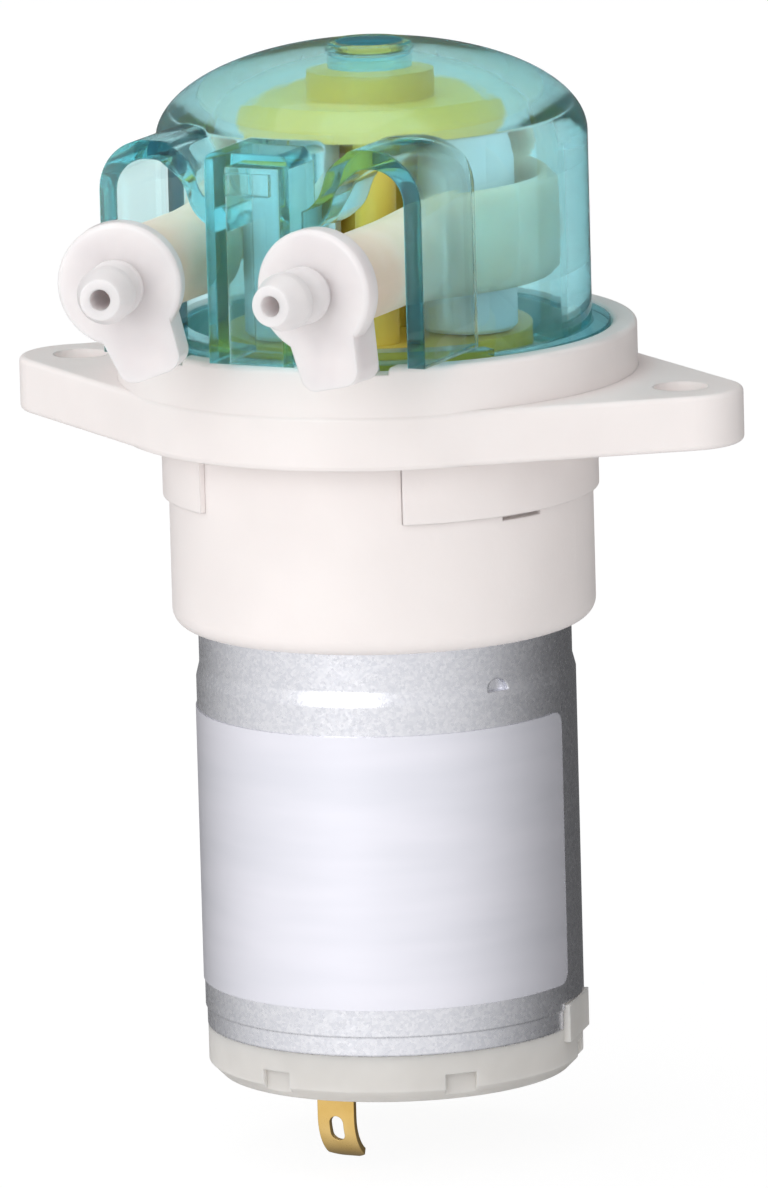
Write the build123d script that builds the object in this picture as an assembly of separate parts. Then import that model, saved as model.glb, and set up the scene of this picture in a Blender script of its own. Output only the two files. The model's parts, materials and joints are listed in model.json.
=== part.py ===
from build123d import *
from math import acos, atan2, cos, degrees, pi, radians, sin, sqrt, tan
import os

# A 12 V dosing pump: a peristaltic head on a planetary gearbox and a DC can motor.
# Millimetres. The origin is the centre of the flange's underside, +Z points out of the
# pump head, and the two hose ports point along -Y.

# Fits and clearances
running_fit = 0.05          # radial, a shaft or pin in its bush
push_fit = 0.03             # radial, pieces pushed together by hand
press_gap = 0.01            # radial, pieces pressed together
axial_gap = 0.2             # between faces that turn past each other
thrust_gap = 0.12           # between the rotor's boss and the cover's stop
tube_gap = 0.2              # between the rollers and the tube at its flattest
wall_gap = 0.1              # between the tube and the wall behind it
edge_break = 0.4            # rounding of the moulded rims

# Base flange
ear_spacing = 48.0
ear_radius = 4.5
mount_hole = 4.0
plate_step = 0.1            # the plate's front and back stand out from the collar
plate_thickness = 4.0
collar_wall = 1.8
collar_height = 3.45
skirt_wall = 0.99
skirt_depth = 4.6
window_half_angle = 30.5
window_relief = 0.2         # the windows go this far up into the plate
floor_top = 4.6
floor_thickness = 1.4
rim_notch_width = 1.3
rim_notch_depth = 0.5

# Gearbox housing
housing_step = 0.44         # from the skirt's face in to the housing's
housing_bottom = -14.3
housing_foot_round = 1.3
liner_wall = 0.8
web_thickness = 2.2
pry_slot_angle = 66.0       # from the front towards +X
pry_slot_sweep = 13.5
pry_slot_height = 0.4
pry_slot_depth = 0.8

# Gears: two equal planetary stages that share one ring
gear_module = 0.5
pressure_angle = 25.0
sun_teeth = 12
planet_teeth = 18
planet_count = 3
addendum_factor = 0.9
dedendum_factor = 1.2
tooth_backlash = 0.12
gear_width = 3.7
carrier_thickness = 1.2
carrier_overhang = 3.0
planet_pin = 1.6
ring_wall = 1.35
ring_key_count = 4
ring_key_width = 2.0
ring_key_height = 0.4

# Output shaft and its bush
output_shaft = 4.0
shaft_flat = 1.5            # the flat's distance from the axis
bush_wall = 1.4
bush_flange = 1.1
bush_flange_thickness = 0.6

# Motor
motor_radius = 13.85
neck_step = 0.25
neck_length = 7.4
neck_taper = 1.0
can_length = 34.2
can_wall = 1.0
can_foot_step = 1.4
can_foot_relief = 0.12
motor_boss_radius = 5.0
motor_boss_height = 1.5
motor_shaft = 2.3
motor_bush_wall = 1.6
motor_bush_length = 2.6
motor_screw_circle = 16.0
motor_screw = 2.5
screw_head = 4.6
screw_head_height = 1.2
screw_length = 4.6
screw_socket = 1.3
dimple_angle = 61.0         # from the front towards +X
dimple_rise = 0.4
dimple_width = 1.8
dimple_depth = 0.7
end_cap_step = 0.15
end_cap_height = 3.6
end_cap_chamfer = 0.9
end_cap_spigot = 1.6
cap_key_angle = 101.0       # from the front towards +X
cap_key_width = 6.0
cap_key_height = 1.8
cap_notch_count = 6
cap_notch_start = 15.0
cap_notch_width = 2.4
cap_notch_depth = 0.45
magnet_thickness = 2.1
magnet_sweep = 128.0
magnet_length = 22.0
clip_thickness = 0.5
clip_length = 16.0
armature_poles = 5
air_gap = 0.45
core_length = 19.0
pole_neck = 2.6
pole_shoe = 1.4
pole_opening = 1.5
core_hub = 3.6
winding_overhang = 2.6
winding_clearance = 0.15
winding_space = 5.0         # degrees between two coils
commutator_radius = 3.5
commutator_length = 5.2
commutator_slot = 0.4
commutator_bore_wall = 1.2
commutator_rise = 0.5       # above the end cap's face
brush_width = 2.0
brush_height = 2.6
brush_length = 2.6
brush_play = 0.04
arm_thickness = 0.3
arm_height = 2.0
terminal_radius = 10.5
terminal_width = 2.9
terminal_thickness = 0.45
terminal_front_drop = 4.9
terminal_front_curl = 3.2
terminal_front_reach = 2.3
terminal_corner = 0.8
terminal_rear_reach = 2.4
terminal_hole_width = 1.1
terminal_hole_length = 1.9
terminal_hole_rise = 2.3    # the hole's middle above the tip
terminal_inside = 3.2

# Label
label_top = -20.4
label_bottom = -40.6
label_sweep = 215.0
label_thickness = 0.08
label_corner = 1.0

# Head cover
cover_wall = 1.75
cover_shoulder = 21.3
cover_crown = 6.9
crown_wall = 1.45
shoulder_step = 1.4         # the race's top above the outer shoulder
cover_foot_step = 1.35
cover_foot_top = 7.4
stop_radius = 3.05
stop_recess_radius = 2.45
stop_floor = 0.75
port_spacing = 16.0
port_height = 14.65
hood_half_width = 4.65
hood_corner = 3.8
hood_wall = 1.35
hood_front = 19.2
hood_top = 23.55
hood_bottom = 8.0
hood_back = 10.0
tunnel_back = 8.0
bridge_top = 18.45
roof_line = ((-5.1, 0.04), (-3.25, 0.35), (-2.55, 0.7), (-1.2, 0.93))  # aside of a port, share of the rise
roof_shift = 0.5            # the roof line inside moves out from the middle by this share of the wall
box_half_width = 3.3
box_wall = 1.2
box_front = 21.3
box_top = 23.3
box_corner = 0.8
box_window_width = 3.4
box_window_height = 1.6
box_window_bottom = 20.2
foot_tab_angle = 48.0       # from the front towards +X
foot_tab_sweep = 13.0
foot_tab_height = 0.5

# Rotor
rotor_radius = 11.35
rotor_bottom = 6.0
rotor_plate = 1.5
rotor_rim = 0.3
rotor_cone_height = 1.3
rotor_face_radius = 9.35
rotor_boss_radius = 4.6
rotor_boss_height = 1.3
rotor_sleeve_radius = 3.0
post_radius = 1.5
post_circle = 17.0
post_spigot_radius = 1.0
roller_count = 3
roller_radius = 3.8
roller_length = 14.8
roller_circle = 14.4
roller_angle = -4.0
roller_pin = 2.0
roller_pin_seat = 0.8
roller_gap = 0.15
roller_edge = 0.3

# Tube and its two connectors
tube_outer = 6.4
tube_bore = 3.2
band_height = 7.5
band_thickness = 2.6
band_bore_height = 4.6
band_bore_thickness = 0.4
band_rise = 0.35
band_start_angle = 220.0
lead_start = 15.0           # where the round tube starts to flatten, in front of the axis
lead_steps = 6
lead_round_pull = 2.7
lead_flat_pull = 2.5
elbow_radius = 9.0
disc_radius = 4.5
disc_thickness = 1.9
pivot_left = 24.6
pivot_right = 23.4
disc_reach = 2.95           # disc's middle in front of the pivot
barb_length = 6.0
barb_root = 3.2
barb_ridge = 4.1
barb_tip = 2.9
barb_count = 2
barb_neck = 1.0
barb_land = 0.8
barb_bore = 1.5
tail_width = 5.4
tail_end_width = 4.4
tail_top = 2.6
tail_drop = 7.0
tail_depth = 3.2
tail_corner = 1.2
tail_saddle_gap = 0.5
toe_left = 13.0
toe_right = -4.0
roll_left = 20.0
roll_right = 12.0

# Worked out from the sizes above
collar_top = plate_thickness + collar_height
floor_bottom = floor_top - floor_thickness
liner_top = floor_bottom - axial_gap / 2

sun_pitch = gear_module * sun_teeth / 2
planet_pitch = gear_module * planet_teeth / 2
ring_teeth = sun_teeth + 2 * planet_teeth
ring_pitch = gear_module * ring_teeth / 2
planet_orbit = sun_pitch + planet_pitch
addendum = addendum_factor * gear_module
dedendum = dedendum_factor * gear_module
carrier_radius = planet_orbit + carrier_overhang

chamber_radius = ring_pitch + dedendum + ring_wall + push_fit
liner_radius = chamber_radius + liner_wall
skirt_bore = liner_radius + wall_gap
skirt_radius = skirt_bore + skirt_wall
housing_radius = skirt_radius - housing_step

carrier_two_top = floor_bottom - axial_gap
carrier_two_bottom = carrier_two_top - carrier_thickness
planet_two_top = carrier_two_bottom - axial_gap
planet_two_bottom = planet_two_top - gear_width
carrier_one_top = planet_two_bottom - axial_gap
carrier_one_bottom = carrier_one_top - carrier_thickness
planet_one_top = carrier_one_bottom - axial_gap
planet_one_bottom = planet_one_top - gear_width
web_top = planet_one_bottom - axial_gap
motor_front = web_top - web_thickness

neck_radius = motor_radius - neck_step
end_cap_radius = motor_radius - end_cap_step
neck_bottom = motor_front - neck_length - neck_taper
can_bottom = motor_front - can_length
can_bore = neck_radius - can_wall
end_cap_bottom = can_bottom - end_cap_height
magnet_inner = can_bore - magnet_thickness
core_radius = magnet_inner - air_gap
commutator_bottom = can_bottom + commutator_rise
commutator_top = commutator_bottom + commutator_length
core_bottom = commutator_top + axial_gap + winding_overhang
core_top = core_bottom + core_length
magnet_top = (core_top + core_bottom + magnet_length) / 2
magnet_bottom = magnet_top - magnet_length

rotor_plate_top = rotor_bottom + rotor_plate
roller_bottom = rotor_plate_top + roller_gap
roller_top = roller_bottom + roller_length
rotor_top_under = roller_top + roller_gap
rotor_cone_foot = rotor_top_under + rotor_rim
rotor_face = rotor_cone_foot + rotor_cone_height
rotor_boss_top = rotor_face + rotor_boss_height

roller_reach = roller_circle / 2 + roller_radius
race_radius = roller_reach + tube_gap + band_thickness + wall_gap
cover_radius = race_radius + cover_wall
cover_foot_radius = cover_radius + cover_foot_step
collar_bore = cover_foot_radius + wall_gap
collar_radius = collar_bore + collar_wall
plate_radius = collar_radius + plate_step
cover_top = cover_shoulder + cover_crown
stop_bottom = rotor_boss_top + thrust_gap
inner_shoulder = cover_shoulder + shoulder_step
inner_top = cover_top - crown_wall
band_middle = roller_reach + tube_gap + band_thickness / 2
band_centre_height = port_height + band_rise
port_x = port_spacing / 2


def disc(radius, bottom, top):
    return Pos(0, 0, bottom) * Cylinder(radius, top - bottom,
                                        align=(Align.CENTER, Align.CENTER, Align.MIN))


def hollow(radius, bore, bottom, top):
    return disc(radius, bottom, top) - disc(bore, bottom, top)


def block(width, depth, bottom, top):
    return Pos(0, 0, bottom) * Box(width, depth, top - bottom,
                                   align=(Align.CENTER, Align.CENTER, Align.MIN))


def polar(radius, angle):
    return radius * cos(radians(angle)), radius * sin(radians(angle))


def from_front(angle):
    # An angle counted from the front towards +X, as a plain polar angle.
    return angle - 90.0


def sector(radius, middle, sweep, bottom, top):
    # A pie slice, used to pick out a stretch of a ring.
    half = sweep / 2
    rim = [polar(radius, middle + step * half) for step in (-1, 0, 1)]
    outline = [Line((0, 0), rim[0]), ThreePointArc(rim[0], rim[1], rim[2]), Line(rim[2], (0, 0))]
    return Pos(0, 0, bottom) * extrude(make_face(outline), top - bottom)


def ring_part(radius, bore, middle, sweep, bottom, top):
    return hollow(radius, bore, bottom, top) & sector(2 * radius, middle, sweep, bottom, top)


def turned(profile):
    # Revolves an outline of (radius, height) points about the main axis.
    face = make_face(Plane.XZ * Polyline(*profile, close=True))
    return revolve(face, Axis.Z, 360)


def copies(shape, count, start=0.0):
    return [Rot(0, 0, start + index * 360 / count) * shape for index in range(count)]


def cut_all(shape, tools):
    for tool in tools:
        shape = shape - tool
    return shape


def add_all(shape, pieces):
    for piece in pieces:
        shape = shape + piece
    return shape


def group(pieces):
    return Compound(children=[piece.solid() for piece in pieces])


def rounded_edge(shape, heights, radius, size):
    # Rounds the full circles of one radius at the given heights.
    edges = [edge for edge in shape.edges().filter_by(GeomType.CIRCLE)
             if abs(edge.radius - radius) < 1e-4
             and any(abs(edge.center().Z - height) < 1e-4 for height in heights)]
    return fillet(edges, size)


# Gear teeth

def involute(angle):
    return tan(angle) - angle


def gear_face(teeth, root_radius, tip_radius, tooth_width):
    # tooth_width is measured along the pitch circle. One tooth is centred on +X.
    pitch_radius = gear_module * teeth / 2
    base_radius = pitch_radius * cos(radians(pressure_angle))
    foot_radius = max(base_radius, root_radius)
    centre_half = tooth_width / (2 * pitch_radius) + involute(radians(pressure_angle))

    def flank(radius, turn, side):
        half = centre_half - involute(acos(min(1.0, base_radius / radius)))
        angle = turn + side * half
        return radius * cos(angle), radius * sin(angle)

    def rim(radius, angle):
        return radius * cos(angle), radius * sin(angle)

    middle_radius = (foot_radius + tip_radius) / 2
    foot_half = centre_half - involute(acos(min(1.0, base_radius / foot_radius)))
    pitch_step = 2 * pi / teeth
    edges = []
    for index in range(teeth):
        turn = index * pitch_step
        rise = [flank(radius, turn, -1) for radius in (foot_radius, middle_radius, tip_radius)]
        fall = [flank(radius, turn, 1) for radius in (tip_radius, middle_radius, foot_radius)]
        root_in = rim(root_radius, turn - foot_half)
        root_out = rim(root_radius, turn + foot_half)
        if foot_radius > root_radius + 1e-6:
            edges.append(Line(root_in, rise[0]))
        edges.append(ThreePointArc(*rise))
        edges.append(ThreePointArc(rise[2], rim(tip_radius, turn), fall[0]))
        edges.append(ThreePointArc(*fall))
        if foot_radius > root_radius + 1e-6:
            edges.append(Line(fall[2], root_out))
        next_root = rim(root_radius, turn + pitch_step - foot_half)
        edges.append(ThreePointArc(root_out, rim(root_radius, turn + pitch_step / 2), next_root))
    return make_face(edges)


def gear(teeth, bottom, top):
    pitch_radius = gear_module * teeth / 2
    width = pi * gear_module / 2 - tooth_backlash / 2
    face = gear_face(teeth, pitch_radius - dedendum, pitch_radius + addendum, width)
    return Pos(0, 0, bottom) * extrude(face, top - bottom)


# Base, housing and gearbox

def base_flange():
    ears = Pos(ear_spacing / 2, 0) * Circle(ear_radius) + Pos(-ear_spacing / 2, 0) * Circle(ear_radius)
    plate = extrude(make_hull((Circle(plate_radius) + ears).edges()), plate_thickness)
    plate = fillet(plate.edges().filter_by(Plane.XY), edge_break)
    collar = hollow(collar_radius, collar_bore, 0, collar_top)
    collar = rounded_edge(collar, [collar_top], collar_radius, edge_break)
    collar = rounded_edge(collar, [collar_top], collar_bore, edge_break)
    body = plate + collar
    body = body - disc(collar_bore, floor_top, collar_top)
    body = body + disc(collar_bore + collar_wall / 2, plate_thickness / 2, floor_top)
    body = body + disc(skirt_radius, -skirt_depth, plate_thickness / 2)
    body = body - disc(skirt_bore, -skirt_depth, floor_bottom)
    window_sweep = 2 * window_half_angle
    windows = [sector(skirt_radius, angle, window_sweep, -skirt_depth, window_relief)
               - disc(skirt_bore - skirt_wall, -skirt_depth, window_relief) for angle in (-90, 90)]
    body = cut_all(body, windows)
    body = body - disc(output_shaft / 2 + bush_wall, floor_bottom, floor_top)
    holes = [Pos(side * ear_spacing / 2, 0) * disc(mount_hole / 2, 0, plate_thickness)
             for side in (-1, 1)]
    notch = block(rim_notch_width, 3 * collar_wall, collar_top - rim_notch_depth, collar_top)
    notch_y = -sqrt(collar_radius ** 2 - port_x ** 2)
    notches = [Pos(side * port_x, notch_y) * notch for side in (-1, 1)]
    return cut_all(body, holes + notches)


def screw_places():
    return [(side * motor_screw_circle / 2, 0) for side in (-1, 1)]


def gearbox_housing():
    body = disc(housing_radius, housing_bottom, -skirt_depth)
    body = rounded_edge(body, [housing_bottom], housing_radius, housing_foot_round)
    body = body + disc(liner_radius, -skirt_depth, liner_top)
    tab_sweep = 2 * window_half_angle - 2 * wall_gap
    tabs = [ring_part(housing_radius, liner_radius - liner_wall / 2, angle, tab_sweep,
                      -skirt_depth, -wall_gap / 2) for angle in (-90, 90)]
    body = add_all(body, tabs)
    body = body - disc(chamber_radius, web_top, liner_top)
    body = body - disc(neck_radius + running_fit, housing_bottom, motor_front)
    body = body - disc(motor_boss_radius + running_fit, motor_front, web_top)
    for x, y in screw_places():
        body = body - Pos(x, y) * disc(motor_screw / 2 + wall_gap, motor_front, web_top)
        body = body - Pos(x, y) * disc(screw_head / 2 + wall_gap, web_top - screw_head_height - wall_gap,
                                       web_top)
    key = block(2 * ring_key_height, ring_key_width + 2 * running_fit, web_top, liner_top)
    body = cut_all(body, copies(Pos(chamber_radius, 0) * key, ring_key_count, 45))
    slot_top = -skirt_depth
    slot = ring_part(housing_radius + wall_gap, housing_radius - pry_slot_depth, from_front(pry_slot_angle),
                     pry_slot_sweep, slot_top - pry_slot_height, slot_top)
    return body - slot


def ring_gear():
    outer = chamber_radius - push_fit
    body = disc(outer, web_top, carrier_two_bottom)
    key = block(2 * (ring_key_height - running_fit), ring_key_width, web_top, carrier_two_bottom)
    body = add_all(body, copies(Pos(outer, 0) * key, ring_key_count, 45))
    space = pi * gear_module / 2 + tooth_backlash / 2
    teeth = gear_face(ring_teeth, ring_pitch - addendum, ring_pitch + dedendum, space)
    space_turn = Rot(0, 0, 180 / ring_teeth)
    return body - Pos(0, 0, web_top) * space_turn * extrude(teeth, carrier_two_bottom - web_top)


def planet(bottom, top, index):
    # Each planet is turned half a tooth, so that its gaps meet the sun's and ring's teeth.
    x, y = polar(planet_orbit, index * 360 / planet_count)
    body = Rot(0, 0, 180 / planet_teeth) * gear(planet_teeth, bottom, top)
    return Pos(x, y) * (body - disc(planet_pin / 2 + running_fit, bottom, top))


def carrier(bottom, top):
    body = disc(carrier_radius, bottom, top)
    pin_hole = Pos(planet_orbit, 0) * disc(planet_pin / 2 + press_gap, bottom, top)
    return cut_all(body, copies(pin_hole, planet_count))


def planet_pins(bottom, top):
    return group(copies(Pos(planet_orbit, 0) * disc(planet_pin / 2, bottom, top), planet_count))


def stage_one_carrier():
    sun = gear(sun_teeth, carrier_one_top, planet_two_top)
    return carrier(carrier_one_bottom, carrier_one_top) + sun


def d_shaft(clearance, bottom, top):
    flat = Pos(shaft_flat + clearance, 0) * Box(output_shaft, 2 * output_shaft, top - bottom,
                                                align=(Align.MIN, Align.CENTER, Align.MIN))
    return disc(output_shaft / 2 + clearance, bottom, top) - Pos(0, 0, bottom) * flat


def stage_two_carrier():
    body = carrier(carrier_two_bottom, carrier_two_top)
    return body - d_shaft(press_gap, carrier_two_bottom, carrier_two_top)


def output_bush():
    outer = output_shaft / 2 + bush_wall - press_gap
    body = disc(outer, floor_bottom, floor_top)
    body = body + disc(outer + bush_flange, floor_top, floor_top + bush_flange_thickness)
    return body - disc(output_shaft / 2 + running_fit, floor_bottom, floor_top + bush_flange_thickness)


# Motor

def motor_can():
    body = disc(neck_radius, neck_bottom, motor_front)
    body = rounded_edge(body, [motor_front], neck_radius, edge_break)
    body = body + disc(motor_radius, can_bottom, neck_bottom)
    body = body + Pos(0, 0, neck_bottom) * Cone(motor_radius, neck_radius, neck_taper,
                                                align=(Align.CENTER, Align.CENTER, Align.MIN))
    groove = hollow(motor_radius + can_wall, motor_radius - can_foot_relief,
                    can_bottom, can_bottom + can_foot_step)
    body = body - groove
    body = body + disc(motor_boss_radius, motor_front, motor_front + motor_boss_height)
    body = body - disc(can_bore, can_bottom, motor_front - can_wall)
    body = body - disc(motor_shaft / 2 + motor_bush_wall + press_gap, motor_front - can_wall,
                       motor_front + motor_boss_height)
    for x, y in screw_places():
        body = body - Pos(x, y) * disc(motor_screw / 2 + press_gap, motor_front - can_wall, motor_front)
    dimple_x, dimple_y = polar(motor_radius, from_front(dimple_angle))
    dimple = Pos(dimple_x, dimple_y, neck_bottom + dimple_rise) * Rot(0, 0, from_front(dimple_angle))
    half_moon = Rot(0, 90, 0) * Cylinder(dimple_width / 2, 2 * dimple_depth)
    half_moon = half_moon - Pos(0, 0, -dimple_width / 2) * Box(4 * dimple_depth, 2 * dimple_width,
                                                               dimple_width)
    body = body - dimple * half_moon
    key_sweep = 2 * wall_gap + cap_key_width
    notch = block(4 * can_wall, key_sweep, can_bottom, can_bottom + cap_key_height + wall_gap)
    notch_place = Rot(0, 0, from_front(cap_key_angle)) * Pos(motor_radius, 0)
    return body - notch_place * notch


def bush(bottom, top):
    outer = motor_shaft / 2 + motor_bush_wall
    return hollow(outer, motor_shaft / 2 + running_fit, bottom, top)


def motor_front_bush():
    top = motor_front + motor_boss_height
    return bush(top - motor_bush_length, top)


def motor_rear_bush():
    return bush(end_cap_bottom + can_wall, end_cap_bottom + can_wall + motor_bush_length)


def motor_screws():
    top = web_top
    head = disc(screw_head / 2, top - screw_head_height, top)
    socket = disc(screw_socket / 2, top - screw_head_height / 2, top)
    screw = disc(motor_screw / 2, top - screw_length, top - screw_head_height) + head - socket
    return group([Pos(x, y) * screw for x, y in screw_places()])


def magnets():
    pieces = [ring_part(can_bore - push_fit, magnet_inner, angle, magnet_sweep, magnet_bottom, magnet_top)
              for angle in (0, 180)]
    return group(pieces)


def magnet_clips():
    # Two spring clips fill the gaps between the magnets and push them apart.
    gap = 180 - magnet_sweep
    top = (magnet_top + magnet_bottom + clip_length) / 2
    bottom = top - clip_length
    sweep = gap - 4 * wall_gap
    pieces = []
    for angle in (90, 270):
        clip = ring_part(can_bore - push_fit, magnet_inner, angle, sweep, bottom, top)
        hollowed = ring_part(can_bore - push_fit - clip_thickness, magnet_inner - clip_thickness,
                             angle, sweep - 6 * clip_thickness, bottom, top)
        pieces.append(clip - hollowed)
    return group(pieces)


def end_cap():
    body = disc(end_cap_radius, end_cap_bottom, can_bottom)
    edges = [edge for edge in body.edges().filter_by(GeomType.CIRCLE)
             if abs(edge.center().Z - end_cap_bottom) < 1e-4]
    body = chamfer(edges, end_cap_chamfer)
    body = body + hollow(can_bore - push_fit, can_bore - 2 * can_wall, can_bottom,
                         can_bottom + end_cap_spigot)
    bush_bottom = end_cap_bottom + can_wall
    body = body - disc(motor_shaft / 2 + motor_bush_wall + press_gap, bush_bottom, can_bottom)
    body = body - disc(motor_shaft / 2 + wall_gap, end_cap_bottom, bush_bottom)
    key = block(2 * can_wall, cap_key_width, can_bottom - can_wall, can_bottom + cap_key_height)
    body = body + Rot(0, 0, from_front(cap_key_angle)) * Pos(motor_radius - can_wall, 0) * key
    notch = block(2 * cap_notch_depth, cap_notch_width, end_cap_bottom, end_cap_bottom + 2 * can_wall)
    body = cut_all(body, copies(Pos(end_cap_radius, 0) * notch, cap_notch_count, cap_notch_start))
    for side in (-1, 1):
        slot = block(terminal_width + 2 * push_fit, terminal_thickness + 2 * push_fit,
                     end_cap_bottom, can_bottom + end_cap_spigot)
        body = body - Pos(0, side * terminal_radius) * slot
    return body


def terminal(bend_path):
    # A flat strip bent along a path in the Y-Z plane, with a hole near its end.
    side_view = Plane.YZ * trace(bend_path, terminal_thickness)
    return extrude(side_view, terminal_width / 2, both=True)


def terminal_hole(place):
    slot = extrude(SlotOverall(terminal_hole_length, terminal_hole_width), 4 * terminal_width, both=True)
    return place * slot


def terminal_front():
    # Straight through the cap, then curled back towards the axis, with its two corners cut off.
    top = can_bottom + terminal_inside
    start = -terminal_radius
    tip = end_cap_bottom - terminal_front_drop
    bend = (start, tip + terminal_front_curl)
    straight = Line((start, top), bend)
    curl = TangentArc(bend, (start + terminal_front_reach, tip), tangent=(0, -1))
    body = terminal(straight + curl)
    corners = body.edges().filter_by(lambda edge: edge.length < 2 * terminal_thickness).group_by(Axis.Z)[0]
    body = chamfer(corners, terminal_corner)
    hole = Pos(0, start, tip + terminal_hole_rise) * Rot(90, 0, 0) * Rot(0, 0, 90)
    body = body - terminal_hole(hole)
    return body.solid()


def terminal_rear():
    top = can_bottom + terminal_inside
    start = terminal_radius
    bend = terminal_thickness
    low = end_cap_bottom - bend
    straight = Line((start, top), (start, low + bend))
    corner = RadiusArc((start, low + bend), (start - bend, low), bend)
    flat = Line((start - bend, low), (start - bend - terminal_rear_reach, low))
    return terminal(straight + corner + flat).solid()


def arm_level():
    return commutator_top - commutator_length / 2


def brush_arms():
    # A leaf from each terminal to the back of its brush.
    pieces = []
    bottom = arm_level() - arm_height / 2
    top = bottom + arm_height
    for side in (-1, 1):
        outer = terminal_radius - terminal_thickness / 2 - push_fit
        inner = commutator_radius + brush_play + brush_length
        length = outer - inner
        leaf = Pos(0, side * (inner + length / 2)) * block(arm_thickness, length, bottom, top)
        plate = block(brush_width, arm_thickness, bottom, top)
        pad = Pos(0, side * (inner + arm_thickness / 2)) * plate
        foot = Pos(0, side * (outer - arm_thickness / 2)) * plate
        pieces.append(leaf + pad + foot)
    return group(pieces)


def brushes():
    middle = arm_level()
    body = Pos(0, commutator_radius + brush_play + brush_length / 2) * block(
        brush_width, brush_length, middle - brush_height / 2, middle + brush_height / 2)
    body = body - disc(commutator_radius + brush_play, middle - brush_height, middle + brush_height)
    return group(copies(body, 2))


def label():
    inner = motor_radius + press_gap
    body = ring_part(inner + label_thickness, inner, from_front(90) - label_sweep / 2, label_sweep,
                     label_bottom, label_top)
    corners = [edge for edge in body.edges() if edge.length < 2 * label_thickness
               and edge.geom_type == GeomType.LINE]
    return fillet(corners, label_corner)


# Armature

def motor_shaft_piece():
    top = planet_one_top
    return disc(motor_shaft / 2, end_cap_bottom + can_wall + axial_gap, top)


def shaft_hole(bottom, top):
    return disc(motor_shaft / 2 + press_gap, bottom, top)


def motor_pinion():
    return gear(sun_teeth, planet_one_bottom, planet_one_top) - shaft_hole(planet_one_bottom, planet_one_top)


def armature_core():
    body = disc(core_radius, core_bottom, core_top)
    slot_angle = 360 / armature_poles
    shoe_inner = core_radius - pole_shoe
    space = hollow(shoe_inner, core_hub, core_bottom, core_top)
    neck = Pos(core_radius / 2, 0) * block(core_radius, pole_neck, core_bottom, core_top)
    body = body - cut_all(space, copies(neck, armature_poles))
    opening = Pos(core_radius, 0) * block(3 * pole_shoe, pole_opening, core_bottom, core_top)
    body = cut_all(body, copies(opening, armature_poles, slot_angle / 2))
    return body - shaft_hole(core_bottom, core_top)


def armature_windings():
    # One coil round each pole, with its end turns standing above and below the core.
    outer = core_radius - pole_shoe - winding_clearance
    inner = core_hub + winding_clearance
    bottom = core_bottom - winding_overhang
    top = core_top + winding_overhang
    sweep = 360 / armature_poles - winding_space
    coil = ring_part(outer, inner, 0, sweep, bottom, top)
    neck = Pos(core_radius / 2, 0) * block(core_radius + 1, pole_neck + 2 * winding_clearance,
                                           core_bottom - winding_clearance, core_top + winding_clearance)
    return group(copies(coil - neck, armature_poles))


def commutator():
    body = disc(commutator_radius, commutator_bottom, commutator_top)
    slot = Pos(commutator_radius, 0) * block(commutator_bore_wall, commutator_slot, commutator_bottom,
                                             commutator_top)
    body = cut_all(body, copies(slot, armature_poles))
    return body - shaft_hole(commutator_bottom, commutator_top)


# Head cover

def hood_outline(inset):
    # Half of the M-shaped roof line over the two ports, set in by a wall, then its mirror image.
    rise = hood_top - bridge_top
    shift = inset * roof_shift
    corner_radius = hood_corner - inset
    side_x = port_x + hood_half_width - inset
    spring = hood_top - hood_corner
    crest = (port_x + shift, hood_top - inset)
    arc_start = (side_x - corner_radius, hood_top - inset)
    points = [(port_x + aside + shift, bridge_top - inset + share * rise) for aside, share in roof_line]
    roof = Spline((0, bridge_top - inset), *points, crest, tangents=[(1, 0), (1, 0)])
    arc = ThreePointArc(arc_start, (arc_start[0] + corner_radius * sin(pi / 4),
                                    spring + corner_radius * cos(pi / 4)), (side_x, spring))
    wall = Line((side_x, spring), (side_x, hood_bottom))
    base = Line((side_x, hood_bottom), (0, hood_bottom))
    middle = Line((0, hood_bottom), (0, bridge_top - inset))
    half = make_face([roof, Line(crest, arc_start), arc, wall, base, middle])
    return half + mirror(half, Plane.YZ)


def along_y(face, front, back):
    # Extrudes an X-Z outline from one depth in front of the axis to another.
    return extrude(Plane((0, -front, 0), x_dir=(1, 0, 0), z_dir=(0, -1, 0)) * face, -(front - back))


def front_box():
    height = box_top - hood_bottom
    shape = Pos(0, hood_bottom + height / 2) * Rectangle(2 * box_half_width, height)
    return fillet(shape.vertices().group_by(Axis.Y)[-1], box_corner)


def dome(radius, foot, shoulder, crown):
    # A plain wall up to the shoulder, then a half ellipse to the top.
    side = Line((radius, foot), (radius, shoulder))
    top = EllipticalCenterArc((0, shoulder), radius, crown, start_angle=0, arc_size=90)
    axis = Line((0, shoulder + crown), (0, foot))
    base = Line((0, foot), (radius, foot))
    return revolve(make_face(Plane.XZ * (side + top + axis + base)), Axis.Z, 360)


def chamber_space(foot):
    # The race's plain wall, which meets a shallow domed ceiling at a sharp corner.
    side = Line((race_radius, foot), (race_radius, inner_shoulder))
    sag = inner_top - inner_shoulder
    ceiling_radius = (race_radius ** 2 + sag ** 2) / (2 * sag)
    middle = race_radius / 2
    middle_height = inner_top - ceiling_radius + sqrt(ceiling_radius ** 2 - middle ** 2)
    ceiling = ThreePointArc((race_radius, inner_shoulder), (middle, middle_height), (0, inner_top))
    axis = Line((0, inner_top), (0, foot))
    base = Line((0, foot), (race_radius, foot))
    return revolve(make_face(Plane.XZ * (side + ceiling + axis + base)), Axis.Z, 360)


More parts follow.
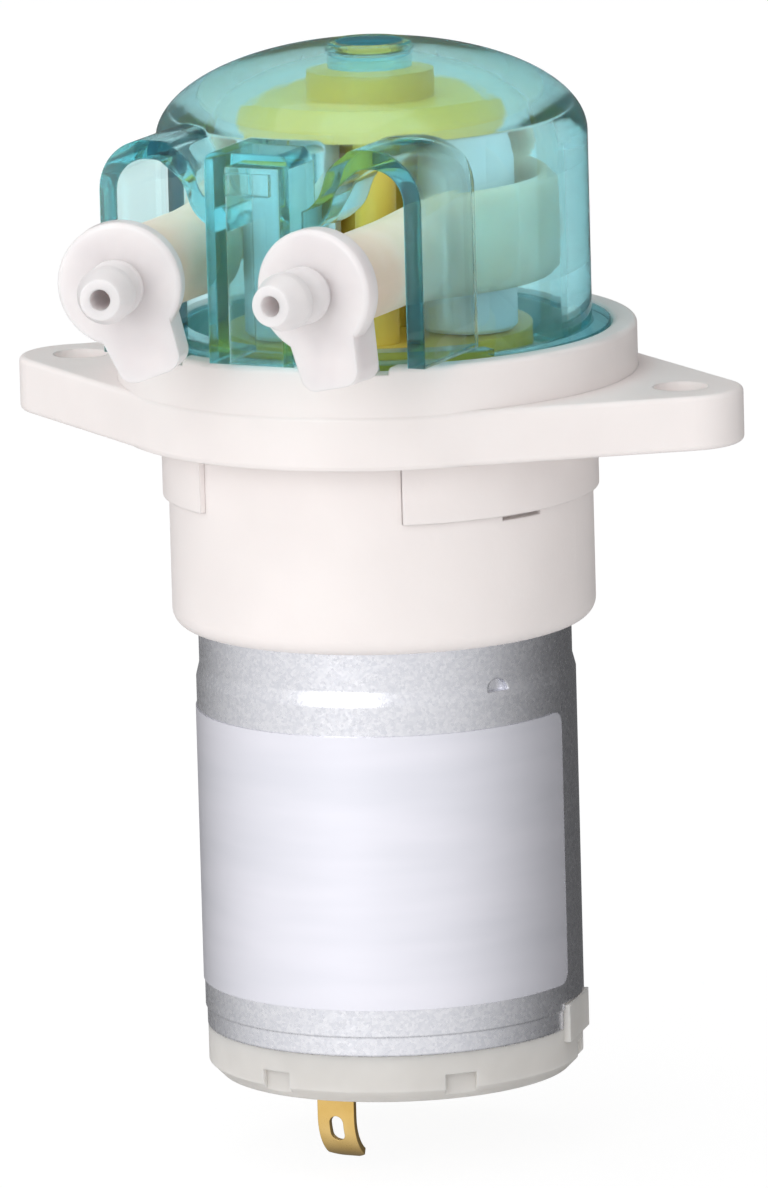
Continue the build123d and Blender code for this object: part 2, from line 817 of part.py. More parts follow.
def head_cover():
    foot_bottom = floor_top + wall_gap / 2
    outer = dome(cover_radius, foot_bottom, cover_shoulder, cover_crown)
    outer = outer + disc(cover_foot_radius, foot_bottom, cover_foot_top)
    outer = outer + along_y(hood_outline(0), hood_front, hood_back)
    outer = outer + along_y(front_box(), box_front, race_radius)
    outer = outer + ring_part(cover_foot_radius, cover_radius, from_front(foot_tab_angle), foot_tab_sweep,
                              cover_foot_top, cover_foot_top + foot_tab_height)
    outer = outer - chamber_space(foot_bottom)
    tunnel = along_y(hood_outline(hood_wall), hood_front, tunnel_back)
    outer = outer - (tunnel - along_y(front_box(), hood_front, tunnel_back))
    inner_half = box_half_width - box_wall
    inner_box = Pos(0, (hood_bottom + box_top - box_wall) / 2) * Rectangle(
        2 * inner_half, box_top - box_wall - hood_bottom)
    outer = outer - along_y(inner_box, box_front - box_wall, cover_radius + wall_gap)
    window = Pos(0, box_window_bottom + box_window_height / 2) * Rectangle(box_window_width,
                                                                         box_window_height)
    outer = outer - along_y(window, box_front, box_front - box_wall / 2)
    outer = outer + disc(stop_radius, stop_bottom, cover_top)
    return outer - disc(stop_recess_radius, stop_bottom + stop_floor, cover_top)


# Rotor

def rotor_bottom_plate():
    body = disc(rotor_radius, rotor_bottom, rotor_plate_top)
    pin = Pos(roller_circle / 2, 0) * disc(roller_pin / 2 + press_gap, rotor_plate_top - roller_pin_seat,
                                           rotor_plate_top)
    spigot = Pos(post_circle / 2, 0) * disc(post_spigot_radius + press_gap, rotor_bottom, rotor_plate_top)
    body = cut_all(body, copies(pin, roller_count, roller_angle))
    body = cut_all(body, copies(spigot, roller_count, roller_angle + 180 / roller_count))
    return body - d_shaft(press_gap, rotor_bottom, rotor_plate_top)


def rotor_top_plate():
    profile = [(0, rotor_top_under), (rotor_radius, rotor_top_under), (rotor_radius, rotor_cone_foot),
               (rotor_face_radius, rotor_face), (rotor_boss_radius, rotor_face),
               (rotor_boss_radius, rotor_boss_top), (0, rotor_boss_top)]
    body = turned(profile) + disc(rotor_sleeve_radius, rotor_plate_top, rotor_top_under)
    post = Pos(post_circle / 2, 0) * (disc(post_radius, rotor_plate_top, rotor_top_under)
                                      + disc(post_spigot_radius, rotor_bottom, rotor_plate_top))
    body = add_all(body, copies(post, roller_count, roller_angle + 180 / roller_count))
    pin = Pos(roller_circle / 2, 0) * disc(roller_pin / 2 + press_gap, rotor_top_under,
                                           rotor_top_under + roller_pin_seat)
    body = cut_all(body, copies(pin, roller_count, roller_angle))
    return body - d_shaft(press_gap, rotor_plate_top, rotor_face)


def output_shaft_piece():
    return d_shaft(0, carrier_two_bottom, rotor_face)


def roller_pins():
    bottom = rotor_plate_top - roller_pin_seat
    top = rotor_top_under + roller_pin_seat
    return group(copies(Pos(roller_circle / 2, 0) * disc(roller_pin / 2, bottom, top),
                        roller_count, roller_angle))


def roller(index):
    body = disc(roller_radius, roller_bottom, roller_top)
    body = chamfer(body.edges().filter_by(GeomType.CIRCLE), roller_edge)
    body = body - disc(roller_pin / 2 + running_fit, roller_bottom, roller_top)
    x, y = polar(roller_circle / 2, roller_angle + index * 360 / roller_count)
    return Pos(x, y) * body


# Tube and connectors

def pivot(side):
    return pivot_left if side < 0 else pivot_right


def elbow_offset(toe):
    # How far the elbow behind a connector carries it sideways, and along the tube.
    side_step = elbow_radius * (1 - cos(radians(toe)))
    return (side_step if toe > 0 else -side_step), elbow_radius * sin(radians(abs(toe)))


def port_frame(side, toe, roll):
    # Local +Z runs out of the port, local +Y is up, and the origin is the elbow's outer end.
    turn = side * port_x + elbow_offset(toe)[0]
    return Pos(turn, -pivot(side), port_height) * Rot(0, 0, toe) * Rot(90, 0, 0) * Rot(0, 0, roll)


def tube_section(x, y, z, turn, half_height, half_thickness):
    # An upright ellipse across the tube. turn is the heading, counted from +Y towards -X.
    heading = (-sin(radians(turn)), cos(radians(turn)), 0)
    plane = Plane((x, y, z), x_dir=(0, 0, 1), z_dir=heading)
    return plane * Ellipse(half_height, half_thickness)


def lead_curve(share):
    # A cubic curve from the round tube's end to the start of the band: its place and slope.
    start_x, start_y = polar(band_middle, band_start_angle)
    pull_x, pull_y = polar(lead_flat_pull, band_start_angle - 90)
    xs = (-port_x, -port_x, start_x - pull_x, start_x)
    ys = (-lead_start, lead_round_pull - lead_start, start_y - pull_y, start_y)
    rest = 1 - share
    weights = (rest ** 3, 3 * rest ** 2 * share, 3 * rest * share ** 2, share ** 3)
    slopes = (-3 * rest ** 2, 3 * rest ** 2 - 6 * rest * share, 6 * rest * share - 3 * share ** 2,
              3 * share ** 2)
    place = [sum(w * v for w, v in zip(weights, values)) for values in (xs, ys)]
    slope = [sum(w * v for w, v in zip(slopes, values)) for values in (xs, ys)]
    return place[0], place[1], degrees(atan2(-slope[0], slope[1]))


def tube_lead(side, round_half, flat_height, flat_thickness):
    # The round tube flattens as it turns from the hood into the race.
    sections = []
    for step in range(lead_steps):
        share = step / (lead_steps - 1)
        flat = share * share * (3 - 2 * share)
        x, y, turn = lead_curve(share)
        height = round_half + flat * (flat_height / 2 - round_half)
        thickness = round_half + flat * (flat_thickness / 2 - round_half)
        sections.append(tube_section(-side * x, y, port_height + flat * band_rise, -side * turn,
                                     height, thickness))
    return loft(sections)


def tube_straight(side, toe, radius):
    # From the elbow's inner end, straight through the hood.
    inner_end = pivot(side) - elbow_offset(toe)[1]
    face = Plane.XZ * Pos(side * port_x, port_height) * Circle(radius)
    return Pos(0, -inner_end, 0) * extrude(face, lead_start - inner_end)


def tube_elbow(side, toe, radius):
    inner_end = pivot(side) - elbow_offset(toe)[1]
    plane = Plane((side * port_x, -inner_end, port_height), x_dir=(1, 0, 0), z_dir=(0, -1, 0))
    face = plane * Circle(radius)
    sense = 1 if toe > 0 else -1
    axis = Axis((side * port_x + sense * elbow_radius, -inner_end, 0), (0, 0, sense))
    return revolve(face, axis, abs(toe))


def band(height, thickness):
    # The flattened stretch round the back of the race, from one lead to the other.
    plane = Plane.XZ * Pos(band_middle, band_centre_height)
    face = plane * Rot(0, 0, 90) * Ellipse(height / 2, thickness / 2)
    sweep = 2 * band_start_angle - 180
    return Rot(0, 0, 180 - band_start_angle) * revolve(face, Axis.Z, sweep)


def tube_end(side, toe, radius):
    length = disc_reach - disc_thickness / 2
    return port_frame(side, toe, 0) * disc(radius, 0, length)


def pump_tube():
    # The band and, on each side, four more stretches, each hollowed by itself and then joined.
    body = band(band_height, band_thickness) - band(band_bore_height, band_bore_thickness)
    for side, toe in ((-1, toe_left), (1, toe_right)):
        lead = tube_lead(side, tube_outer / 2, band_height, band_thickness)
        body = body + (lead - tube_lead(side, tube_bore / 2, band_bore_height, band_bore_thickness))
        for stretch in (tube_straight, tube_elbow, tube_end):
            body = body + (stretch(side, toe, tube_outer / 2) - stretch(side, toe, tube_bore / 2))
    return body


def barb():
    # Each ridge has a short straight land behind its cone.
    profile = [(0, 0), (barb_root / 2, 0)]
    pitch = (barb_length - barb_neck) / barb_count
    for index in range(barb_count):
        foot = barb_neck + index * pitch
        profile += [(barb_root / 2, foot), (barb_ridge / 2, foot), (barb_ridge / 2, foot + barb_land),
                    (barb_tip / 2, foot + pitch)]
    profile.append((0, barb_length))
    return turned(profile)


def tail_outline():
    top_half = tail_width / 2
    low_half = tail_end_width / 2
    outline = make_face(Polyline((-top_half, -tail_top), (top_half, -tail_top), (low_half, -tail_drop),
                                 (-low_half, -tail_drop), close=True))
    return fillet(outline.vertices().group_by(Axis.Y)[0], tail_corner)


def connector(side, toe, roll):
    back = disc_reach - disc_thickness / 2
    front = disc_reach + disc_thickness / 2
    body = disc(disc_radius, back, front)
    body = fillet(body.edges().filter_by(GeomType.CIRCLE), edge_break)
    body = body + Pos(0, 0, front) * barb()
    body = body + disc(tube_bore / 2 - push_fit, wall_gap, back)
    tail = Pos(0, 0, front - tail_depth) * extrude(tail_outline(), tail_depth)
    body = body + (tail - disc(tube_outer / 2 + tail_saddle_gap, front - tail_depth, back))
    body = body - disc(barb_bore / 2, 0, front + barb_length)
    return port_frame(side, toe, roll) * body


pieces = {
    "base_flange": base_flange(),
    "gearbox_housing": gearbox_housing(),
    "ring_gear": ring_gear(),
    "output_bush": output_bush(),
    "head_cover": head_cover(),
    "pump_tube": pump_tube(),
    "connector_left": connector(-1, toe_left, roll_left),
    "connector_right": connector(1, toe_right, roll_right),
    "motor_can": motor_can(),
    "motor_front_bush": motor_front_bush(),
    "motor_rear_bush": motor_rear_bush(),
    "motor_screws": motor_screws(),
    "motor_magnets": magnets(),
    "magnet_clips": magnet_clips(),
    "motor_end_cap": end_cap(),
    "brush_arms": brush_arms(),
    "carbon_brushes": brushes(),
    "terminal_front": terminal_front(),
    "terminal_rear": terminal_rear(),
    "motor_label": label(),
    "motor_shaft": motor_shaft_piece(),
    "motor_pinion": motor_pinion(),
    "armature_core": armature_core(),
    "armature_windings": armature_windings(),
    "commutator": commutator(),
    "stage1_carrier": stage_one_carrier(),
    "stage1_pins": planet_pins(planet_one_bottom, carrier_one_top),
    "stage2_carrier": stage_two_carrier(),
    "stage2_pins": planet_pins(planet_two_bottom, carrier_two_top),
    "output_shaft": output_shaft_piece(),
    "rotor_bottom_plate": rotor_bottom_plate(),
    "rotor_top_plate": rotor_top_plate(),
    "roller_pins": roller_pins(),
}
for index in range(planet_count):
    pieces[f"stage1_planet_{index + 1}"] = planet(planet_one_bottom, planet_one_top, index)
    pieces[f"stage2_planet_{index + 1}"] = planet(planet_two_bottom, planet_two_top, index)
for index in range(roller_count):
    pieces[f"roller_{index + 1}"] = roller(index)

os.makedirs("parts", exist_ok=True)
for name, shape in pieces.items():
    export_step(shape, f"parts/{name}.step")
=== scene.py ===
import json
import math

import bpy
from mathutils import Matrix, Vector


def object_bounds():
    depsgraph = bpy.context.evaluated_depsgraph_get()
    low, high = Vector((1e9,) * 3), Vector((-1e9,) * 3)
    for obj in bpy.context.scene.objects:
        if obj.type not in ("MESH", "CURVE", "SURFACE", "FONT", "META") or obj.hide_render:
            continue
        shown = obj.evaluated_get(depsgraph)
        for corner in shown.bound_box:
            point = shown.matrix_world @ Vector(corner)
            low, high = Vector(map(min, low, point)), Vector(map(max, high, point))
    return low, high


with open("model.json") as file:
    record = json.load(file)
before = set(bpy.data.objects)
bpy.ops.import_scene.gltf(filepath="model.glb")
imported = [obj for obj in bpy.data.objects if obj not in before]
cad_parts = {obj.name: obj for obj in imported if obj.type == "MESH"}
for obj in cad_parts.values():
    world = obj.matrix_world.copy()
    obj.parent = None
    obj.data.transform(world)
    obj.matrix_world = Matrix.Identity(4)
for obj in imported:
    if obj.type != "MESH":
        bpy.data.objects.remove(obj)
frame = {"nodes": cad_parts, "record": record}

cadBox = [list(corner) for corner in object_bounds()]
mm = 0.001
pale = (1.0, 1.0, 1.0, 1.0)
# Where a noise pattern turns from the shade to the colour, out of its range of 0 to 1.
shadeEnd, colourStart = 0.3, 0.7
# How far the roughness of a plastic, a metal and a spangle strays to each side.
plasticStray, metalStray, spangleStray = 0.05, 0.08, 0.07


def toLinear(colour):
    # A colour written as sRGB hex, turned into the linear values that the shader uses.
    parts = [int(colour[i:i + 2], 16) / 255 for i in (1, 3, 5)]
    return tuple(p / 12.92 if p <= 0.04045 else ((p + 0.055) / 1.055) ** 2.4 for p in parts) + (1.0,)


def addNode(tree, kind, options=None, inputs=None):
    # Adds one node. An input that is given a socket is linked, and any other is set.
    node = tree.nodes.new(kind)
    for name, value in (options or {}).items():
        setattr(node, name, value)
    for name, value in (inputs or {}).items():
        if isinstance(value, bpy.types.NodeSocket):
            tree.links.new(value, node.inputs[name])
        else:
            node.inputs[name].default_value = value
    return node


def newMaterial(name):
    material = bpy.data.materials.new(name)
    material.use_nodes = True
    material.node_tree.nodes.clear()
    return material, material.node_tree


def patternScale(sizeMm):
    # Object coordinates are in metres, so a feature of sizeMm repeats this often.
    return 1.0 / (sizeMm * mm)


def objectPoint(tree, stretch=(1.0, 1.0, 1.0)):
    place = addNode(tree, "ShaderNodeTexCoord")
    return addNode(tree, "ShaderNodeMapping", {}, {"Vector": place.outputs["Object"], "Scale": stretch})


def noiseAt(tree, sizeMm, detail=2.0, stretch=(1.0, 1.0, 1.0)):
    point = objectPoint(tree, stretch)
    return addNode(tree, "ShaderNodeTexNoise", {}, {"Vector": point.outputs["Vector"],
                                                   "Scale": patternScale(sizeMm), "Detail": detail})


def ramp(tree, factor, stops):
    # stops is a list of (position, hex colour).
    node = addNode(tree, "ShaderNodeValToRGB", {}, {"Fac": factor})
    while len(node.color_ramp.elements) < len(stops):
        node.color_ramp.elements.new(1.0)
    for element, (position, colour) in zip(node.color_ramp.elements, stops):
        element.position = position
        element.color = toLinear(colour)
    return node.outputs["Color"]


def strayRoughness(tree, factor, middle, stray):
    # A pattern of 0 to 1 turned into a roughness that strays evenly round its middle.
    node = addNode(tree, "ShaderNodeMapRange", {}, {"Value": factor, "To Min": middle - stray,
                                                  "To Max": middle + stray})
    return node.outputs["Result"]


def raySeen(tree, kinds):
    # 1 for a ray of any of these kinds, else 0.
    path = addNode(tree, "ShaderNodeLightPath")
    seen = path.outputs[kinds[0]]
    for kind in kinds[1:]:
        seen = addNode(tree, "ShaderNodeMath", {"operation": "MAXIMUM"},
                       {0: seen, 1: path.outputs[kind]}).outputs["Value"]
    return seen


def finishMaterial(tree, material, inputs):
    shader = addNode(tree, "ShaderNodeBsdfPrincipled", {}, inputs)
    addNode(tree, "ShaderNodeOutputMaterial", {}, {"Surface": shader.outputs["BSDF"]})
    return material


def softEdges(tree, radiusMm, grain, depthMm):
    # A moulded or stamped edge is never sharp, and the skin has a fine grain.
    edge = addNode(tree, "ShaderNodeBevel", {"samples": 4}, {"Radius": radiusMm * mm})
    bump = addNode(tree, "ShaderNodeBump", {}, {"Height": grain, "Distance": depthMm * mm,
                                               "Strength": 1.0, "Normal": edge.outputs["Normal"]})
    return bump.outputs["Normal"]


def plastic(name, look):
    # Moulded thermoplastic: a faint flow mottle in the colour, and a fine satin grain.
    material, tree = newMaterial(name)
    mottle = noiseAt(tree, look["mottleMm"])
    grain = noiseAt(tree, look["grainMm"], 3.0)
    colour = ramp(tree, mottle.outputs["Fac"], [(shadeEnd, look["shade"]), (colourStart, look["colour"])])
    roughness = strayRoughness(tree, grain.outputs["Fac"], look["roughness"], plasticStray)
    normal = softEdges(tree, look["edgeMm"], grain.outputs["Fac"], look["grainDepthMm"])
    inputs = {"Base Color": colour, "Roughness": roughness, "IOR": look["ior"], "Normal": normal,
              "Subsurface Weight": look["glow"], "Subsurface Radius": look["glowRadius"],
              "Subsurface Scale": look["glowMm"] * mm}
    return finishMaterial(tree, material, inputs)


def metal(name, look):
    # Metal: the colour is its reflection, broken by a grain along the piece or across it.
    material, tree = newMaterial(name)
    grain = noiseAt(tree, look["grainMm"], 4.0, look["stretch"])
    tone = noiseAt(tree, look["toneMm"], 2.0)
    colour = ramp(tree, tone.outputs["Fac"], [(shadeEnd, look["shade"]), (colourStart, look["colour"])])
    roughness = strayRoughness(tree, grain.outputs["Fac"], look["roughness"], metalStray)
    normal = softEdges(tree, look["edgeMm"], grain.outputs["Fac"], look["grainDepthMm"])
    return finishMaterial(tree, material, {"Base Color": colour, "Metallic": 1.0, "Roughness": roughness,
                                           "Normal": normal})


# Injection-moulded nylon, filled white: the flange and the gearbox housing.
whiteNylonLook = {"colour": "#f2ebe9", "shade": "#ece5e3", "mottleMm": 9.0, "grainMm": 0.5,
                  "grainDepthMm": 0.012, "roughness": 0.42, "ior": 1.53, "edgeMm": 0.18,
                  "glow": 0.15, "glowMm": 1.0, "glowRadius": (1.0, 0.9, 0.85)}

# Natural polypropylene: the connectors. Milky, so that light passes into the thin barbs.
naturalPolypropyleneLook = {"colour": "#e9e4e4", "shade": "#e1dcdd", "mottleMm": 3.0, "grainMm": 0.5,
                            "grainDepthMm": 0.01, "roughness": 0.34, "ior": 1.49, "edgeMm": 0.2,
                            "glow": 0.85, "glowMm": 2.5, "glowRadius": (1.0, 0.92, 0.9)}

# Natural nylon: the motor's end cap. Greyer than the connectors.
naturalNylonLook = {"colour": "#d8d5d1", "shade": "#cfccc8", "mottleMm": 4.0, "grainMm": 0.6,
                    "grainDepthMm": 0.015, "roughness": 0.38, "ior": 1.53, "edgeMm": 0.2,
                    "glow": 0.7, "glowMm": 2.0, "glowRadius": (1.0, 0.95, 0.9)}

# Extruded thermoplastic rubber: the pump tube. Cream, slightly translucent.
tubeRubberLook = {"colour": "#e9dccb", "shade": "#e0cfba", "mottleMm": 5.0, "grainMm": 0.4,
                  "grainDepthMm": 0.008, "roughness": 0.48, "ior": 1.50, "edgeMm": 0.15,
                  "glow": 0.6, "glowMm": 2.0, "glowRadius": (1.0, 0.75, 0.55)}

# Yellow acetal: the rotor's plates and posts.
yellowAcetalLook = {"colour": "#f3ca58", "shade": "#eac04e", "mottleMm": 7.0, "grainMm": 0.4,
                    "grainDepthMm": 0.01, "roughness": 0.4, "ior": 1.48, "edgeMm": 0.15,
                    "glow": 0.2, "glowMm": 1.0, "glowRadius": (1.0, 0.9, 0.3)}

# White acetal: the rollers, turned on their outside.
whiteAcetalLook = {"colour": "#eef2f6", "shade": "#e6ebf1", "mottleMm": 4.0, "grainMm": 0.3,
                   "grainDepthMm": 0.008, "roughness": 0.36, "ior": 1.48, "edgeMm": 0.15,
                   "glow": 0.3, "glowMm": 1.0, "glowRadius": (0.9, 0.95, 1.0)}

# Natural acetal: gears and carriers.
naturalAcetalLook = {"colour": "#efece0", "shade": "#e6e2d4", "mottleMm": 4.0, "grainMm": 0.3,
                     "grainDepthMm": 0.008, "roughness": 0.4, "ior": 1.48, "edgeMm": 0.08,
                     "glow": 0.3, "glowMm": 1.0, "glowRadius": (1.0, 0.95, 0.85)}

# Pressed ferrite and carbon: dark, matt and grainy.
ferriteLook = {"colour": "#3c3c3f", "shade": "#313134", "mottleMm": 2.0, "grainMm": 0.3,
               "grainDepthMm": 0.02, "roughness": 0.7, "ior": 1.6, "edgeMm": 0.1,
               "glow": 0.0, "glowMm": 1.0, "glowRadius": (1.0, 1.0, 1.0)}

# Ground or drawn steel: shafts, pins, screws and clips.
brightSteelLook = {"colour": "#c9cacc", "shade": "#bfc0c2", "toneMm": 6.0, "grainMm": 0.25,
                   "stretch": (1.0, 1.0, 6.0), "grainDepthMm": 0.004, "roughness": 0.26, "edgeMm": 0.08}

# Sintered bronze: the bushes, dull and open-grained.
bronzeLook = {"colour": "#a5875c", "shade": "#94774e", "toneMm": 2.0, "grainMm": 0.2,
              "stretch": (1.0, 1.0, 1.0), "grainDepthMm": 0.02, "roughness": 0.5, "edgeMm": 0.08}

# Stamped brass strip: the terminals and brush arms.
brassLook = {"colour": "#f0cd86", "shade": "#deb86c", "toneMm": 3.0, "grainMm": 0.2,
             "stretch": (3.0, 3.0, 1.0), "grainDepthMm": 0.006, "roughness": 0.3, "edgeMm": 0.1}

# Enamelled copper: windings and commutator bars.
copperLook = {"colour": "#c27a4c", "shade": "#a9633a", "toneMm": 2.0, "grainMm": 0.25,
              "stretch": (1.0, 1.0, 8.0), "grainDepthMm": 0.03, "roughness": 0.34, "edgeMm": 0.1}


def zincSteel(look):
    # Zinc-plated deep-drawn steel: a grey metal with a fine spangle of crystals in it.
    material, tree = newMaterial("zincPlatedSteel")
    point = objectPoint(tree)
    crystal = addNode(tree, "ShaderNodeTexVoronoi", {}, {"Vector": point.outputs["Vector"],
                                                       "Scale": patternScale(look["spangleMm"])})
    grain = noiseAt(tree, look["grainMm"], 4.0)
    tone = addNode(tree, "ShaderNodeSeparateColor", {}, {"Color": crystal.outputs["Color"]})
    colour = ramp(tree, tone.outputs["Red"], [(0.0, look["shade"]), (1.0, look["colour"])])
    roughness = strayRoughness(tree, tone.outputs["Green"], look["roughness"], spangleStray)
    normal = softEdges(tree, look["edgeMm"], grain.outputs["Fac"], look["grainDepthMm"])
    return finishMaterial(tree, material, {"Base Color": colour, "Metallic": 1.0, "Roughness": roughness,
                                           "Normal": normal})


def silverFoil(look):
    # Satin silver foil under a clear film: smooth, with a soft streak round the can.
    material, tree = newMaterial("satinSilverFoil")
    streak = noiseAt(tree, look["streakMm"], 2.0, look["streakStretch"])
    colour = ramp(tree, streak.outputs["Fac"], [(shadeEnd, look["shade"]), (colourStart, look["colour"])])
    normal = softEdges(tree, look["edgeMm"], streak.outputs["Fac"], look["streakDepthMm"])
    return finishMaterial(tree, material, {"Base Color": colour, "Metallic": look["metallic"],
                                           "Roughness": look["roughness"], "Normal": normal,
                                           "Coat Weight": look["film"],
                                           "Coat Roughness": look["filmRoughness"]})


def tealClear(look):
    # Clear tinted styrene: polished faces, and a tint that deepens with the length of plastic.
    # It bends light less than real styrene, so that the rotor inside keeps its shape.
    material, tree = newMaterial("tealClearStyrene")
    flow = noiseAt(tree, look["flowMm"], 1.0)
    normal = softEdges(tree, look["edgeMm"], flow.outputs["Fac"], look["flowDepthMm"])
    tint = addNode(tree, "ShaderNodeVolumeAbsorption", {}, {"Color": toLinear(look["tint"]),
                                                          "Density": look["density"]})
    inputs = {"Base Color": toLinear(look["colour"]), "Roughness": look["roughness"], "IOR": look["ior"],
              "Transmission Weight": 1.0, "Normal": normal}
    shader = addNode(tree, "ShaderNodeBsdfPrincipled", {}, inputs)
    lets = addNode(tree, "ShaderNodeBsdfTransparent", {}, {"Color": toLinear(look["lightThrough"])})
    straight = addNode(tree, "ShaderNodeMath", {"operation": "MAXIMUM"},
                       {0: raySeen(tree, ("Is Shadow Ray",)), 1: look["straightShare"]})
    both = addNode(tree, "ShaderNodeMixShader", {}, {"Fac": straight.outputs["Value"],
                                                   1: shader.outputs["BSDF"], 2: lets.outputs["BSDF"]})
    addNode(tree, "ShaderNodeOutputMaterial", {}, {"Surface": both.outputs["Shader"],
                                                  "Volume": tint.outputs["Volume"]})
    return material


zincSteelLook = {"colour": "#ededf2", "shade": "#dddee5", "spangleMm": 0.22, "grainMm": 0.3,
                 "grainDepthMm": 0.006, "roughness": 0.3, "edgeMm": 0.2}
silverFoilLook = {"colour": "#eeedf6", "shade": "#e6e6ef", "streakMm": 2.5, "streakDepthMm": 0.003,
                  "metallic": 0.6, "roughness": 0.3, "edgeMm": 0.05, "streakStretch": (0.15, 0.15, 1.0),
                  "film": 0.3, "filmRoughness": 0.25}
tealClearLook = {"colour": "#f2fbfb", "tint": "#2fe6f0", "density": 150.0, "roughness": 0.03, "ior": 1.3,
                 "lightThrough": "#fafefe", "straightShare": 0.12, "flowMm": 6.0,
                 "flowDepthMm": 0.02, "edgeMm": 0.25}

slotMaterials = {
    "white_nylon": plastic("mouldedWhiteNylon", whiteNylonLook),
    "natural_clear": plastic("naturalPolypropylene", naturalPolypropyleneLook),
    "cream_tube": plastic("tubeRubber", tubeRubberLook),
    "yellow_acetal": plastic("yellowAcetal", yellowAcetalLook),
    "white_acetal": plastic("whiteAcetal", whiteAcetalLook),
    "natural_acetal": plastic("naturalAcetal", naturalAcetalLook),
    "ferrite": plastic("pressedFerrite", ferriteLook),
    "carbon": plastic("pressedCarbon", ferriteLook),
    "bright_steel": metal("groundSteel", brightSteelLook),
    "sintered_bronze": metal("sinteredBronze", bronzeLook),
    "brass": metal("stampedBrass", brassLook),
    "copper_wire": metal("enamelledCopper", copperLook),
    "zinc_steel": zincSteel(zincSteelLook),
    "silver_foil": silverFoil(silverFoilLook),
    "teal_clear": tealClear(tealClearLook),
}
nodeMaterials = {"motor_end_cap": plastic("naturalNylon", naturalNylonLook)}


def dressNodes():
    # Every carried-over node takes the material of its slot in the record.
    for part in frame["record"]["subparts"]:
        name = part["node"]
        material = nodeMaterials.get(name, slotMaterials[part["material_slot"]])
        mesh = frame["nodes"][name].data
        mesh.materials.clear()
        mesh.materials.append(material)


dressNodes()
print("nodes dressed")

# The floor lies just under the terminals. It is clear from below, and to a metal's reflections.
floorLook = {"halfWidth": 4.0, "gapMm": 1.0, "shadowShare": 0.12, "glow": 1.04}


def makeFloor():
    half = floorLook["halfWidth"]
    height = cadBox[0][2] - floorLook["gapMm"] * mm
    mesh = bpy.data.meshes.new("floor")
    corners = [(-half, -half, height), (half, -half, height), (half, half, height), (-half, half, height)]
    mesh.from_pydata(corners, [], [(0, 1, 2, 3)])
    floor = bpy.data.objects.new("floor", mesh)
    bpy.context.scene.collection.objects.link(floor)
    material, tree = newMaterial("paleFloor")
    matt = addNode(tree, "ShaderNodeBsdfDiffuse", {}, {"Color": pale})
    glow = addNode(tree, "ShaderNodeEmission", {}, {"Color": pale, "Strength": floorLook["glow"]})
    clear = addNode(tree, "ShaderNodeBsdfTransparent", {}, {"Color": pale})
    seen = raySeen(tree, ("Is Camera Ray", "Is Transmission Ray"))
    share = addNode(tree, "ShaderNodeMath", {"operation": "MULTIPLY"},
                    {0: seen, 1: 1.0 - floorLook["shadowShare"]}).outputs["Value"]
    lit = addNode(tree, "ShaderNodeMixShader", {}, {"Fac": share, 1: matt.outputs["BSDF"],
                                                  2: glow.outputs["Emission"]})
    side = addNode(tree, "ShaderNodeNewGeometry")
    unseen = addNode(tree, "ShaderNodeMath", {"operation": "MAXIMUM"},
                    {0: side.outputs["Backfacing"], 1: raySeen(tree, ("Is Glossy Ray",))})
    both = addNode(tree, "ShaderNodeMixShader", {}, {"Fac": unseen.outputs["Value"],
                                                   1: lit.outputs["Shader"], 2: clear.outputs["BSDF"]})
    addNode(tree, "ShaderNodeOutputMaterial", {}, {"Surface": both.outputs["Shader"]})
    mesh.materials.append(material)


# A pale room: bright in front of the ports, and dim behind the part.
roomLook = {"bright": 1.0, "dim": 0.08, "brightSide": (-0.04, -0.99, 0.1), "dimFrom": -1.2,
            "brightFrom": 1.0}


def makeRoom():
    world = bpy.data.worlds.new("room")
    bpy.context.scene.world = world
    world.use_nodes = True
    tree = world.node_tree
    tree.nodes.clear()
    place = addNode(tree, "ShaderNodeTexCoord")
    facing = addNode(tree, "ShaderNodeVectorMath", {"operation": "DOT_PRODUCT"},
                     {0: place.outputs["Generated"], 1: Vector(roomLook["brightSide"]).normalized()})
    level = addNode(tree, "ShaderNodeMapRange", {"interpolation_type": "SMOOTHSTEP"},
                    {"Value": facing.outputs["Value"], "From Min": roomLook["dimFrom"],
                     "From Max": roomLook["brightFrom"], "To Min": roomLook["dim"],
                     "To Max": roomLook["bright"]})
    air = addNode(tree, "ShaderNodeBackground", {}, {"Color": pale, "Strength": level.outputs["Result"]})
    seen = addNode(tree, "ShaderNodeBackground", {}, {"Color": pale, "Strength": 1.0})
    share = raySeen(tree, ("Is Camera Ray", "Is Transmission Ray"))
    both = addNode(tree, "ShaderNodeMixShader", {}, {"Fac": share, 1: air.outputs["Background"],
                                                   2: seen.outputs["Background"]})
    addNode(tree, "ShaderNodeOutputWorld", {}, {"Surface": both.outputs["Shader"]})


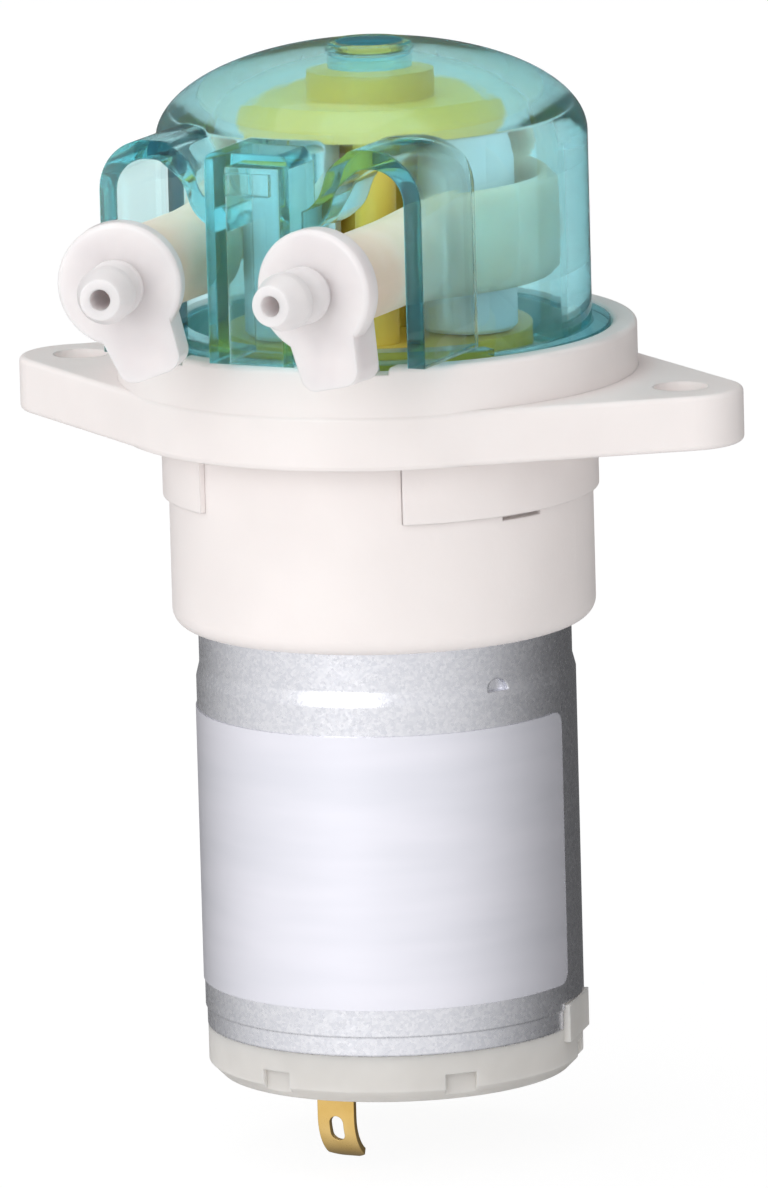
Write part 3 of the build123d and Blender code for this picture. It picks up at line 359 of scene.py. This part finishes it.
# Soft boxes: name, place in metres, side in metres and power in watts.
lampLook = {
    "keyFront": {"place": (-0.05, -0.95, 0.3), "side": 0.55, "power": 2.6},
    "topSoft": {"place": (-0.2, 0.0, 0.95), "side": 0.6, "power": 1.9},
}


def makeLamps():
    middle = Vector((0.0, 0.0, (cadBox[0][2] + cadBox[1][2]) / 2))
    for name, look in lampLook.items():
        light = bpy.data.lights.new(name, "AREA")
        light.shape = "SQUARE"
        light.size = look["side"]
        light.energy = look["power"]
        lamp = bpy.data.objects.new(name, light)
        lamp.location = look["place"]
        lamp.rotation_mode = "QUATERNION"
        lamp.rotation_quaternion = (middle - lamp.location).to_track_quat("-Z", "Y")
        bpy.context.scene.collection.objects.link(lamp)


# A long lens, a little above the ports and to their right. The view leans by roll.
cameraLook = {"azimuth": 25.0, "elevation": 11.0, "roll": 1.56, "distance": 1.1, "aimZMm": -12.6,
              "frameHeightMm": 86.5, "sensorMm": 36.0}


def makeCamera():
    azimuth = math.radians(cameraLook["azimuth"])
    elevation = math.radians(cameraLook["elevation"])
    roll = math.radians(cameraLook["roll"])
    back = Vector((math.sin(azimuth) * math.cos(elevation), -math.cos(azimuth) * math.cos(elevation),
                   math.sin(elevation)))
    right = Vector((math.cos(azimuth), math.sin(azimuth), 0.0))
    up = back.cross(right)
    leanRight = right * math.cos(roll) - up * math.sin(roll)
    leanUp = up * math.cos(roll) + right * math.sin(roll)
    lens = bpy.data.cameras.new("camera")
    lens.sensor_width = cameraLook["sensorMm"]
    lens.lens = cameraLook["sensorMm"] * cameraLook["distance"] / (cameraLook["frameHeightMm"] * mm)
    lens.clip_start, lens.clip_end = 0.01, 20.0
    camera = bpy.data.objects.new("camera", lens)
    turn = Matrix((leanRight, leanUp, back)).transposed().to_4x4()
    aim = Vector((0.0, 0.0, cameraLook["aimZMm"] * mm))
    camera.matrix_world = Matrix.Translation(aim + back * cameraLook["distance"]) @ turn
    bpy.context.scene.collection.objects.link(camera)
    bpy.context.scene.camera = camera


makeFloor()
makeRoom()
makeLamps()
makeCamera()
bpy.context.scene.view_settings.view_transform = "Standard"
print("stage, lamps and camera made")
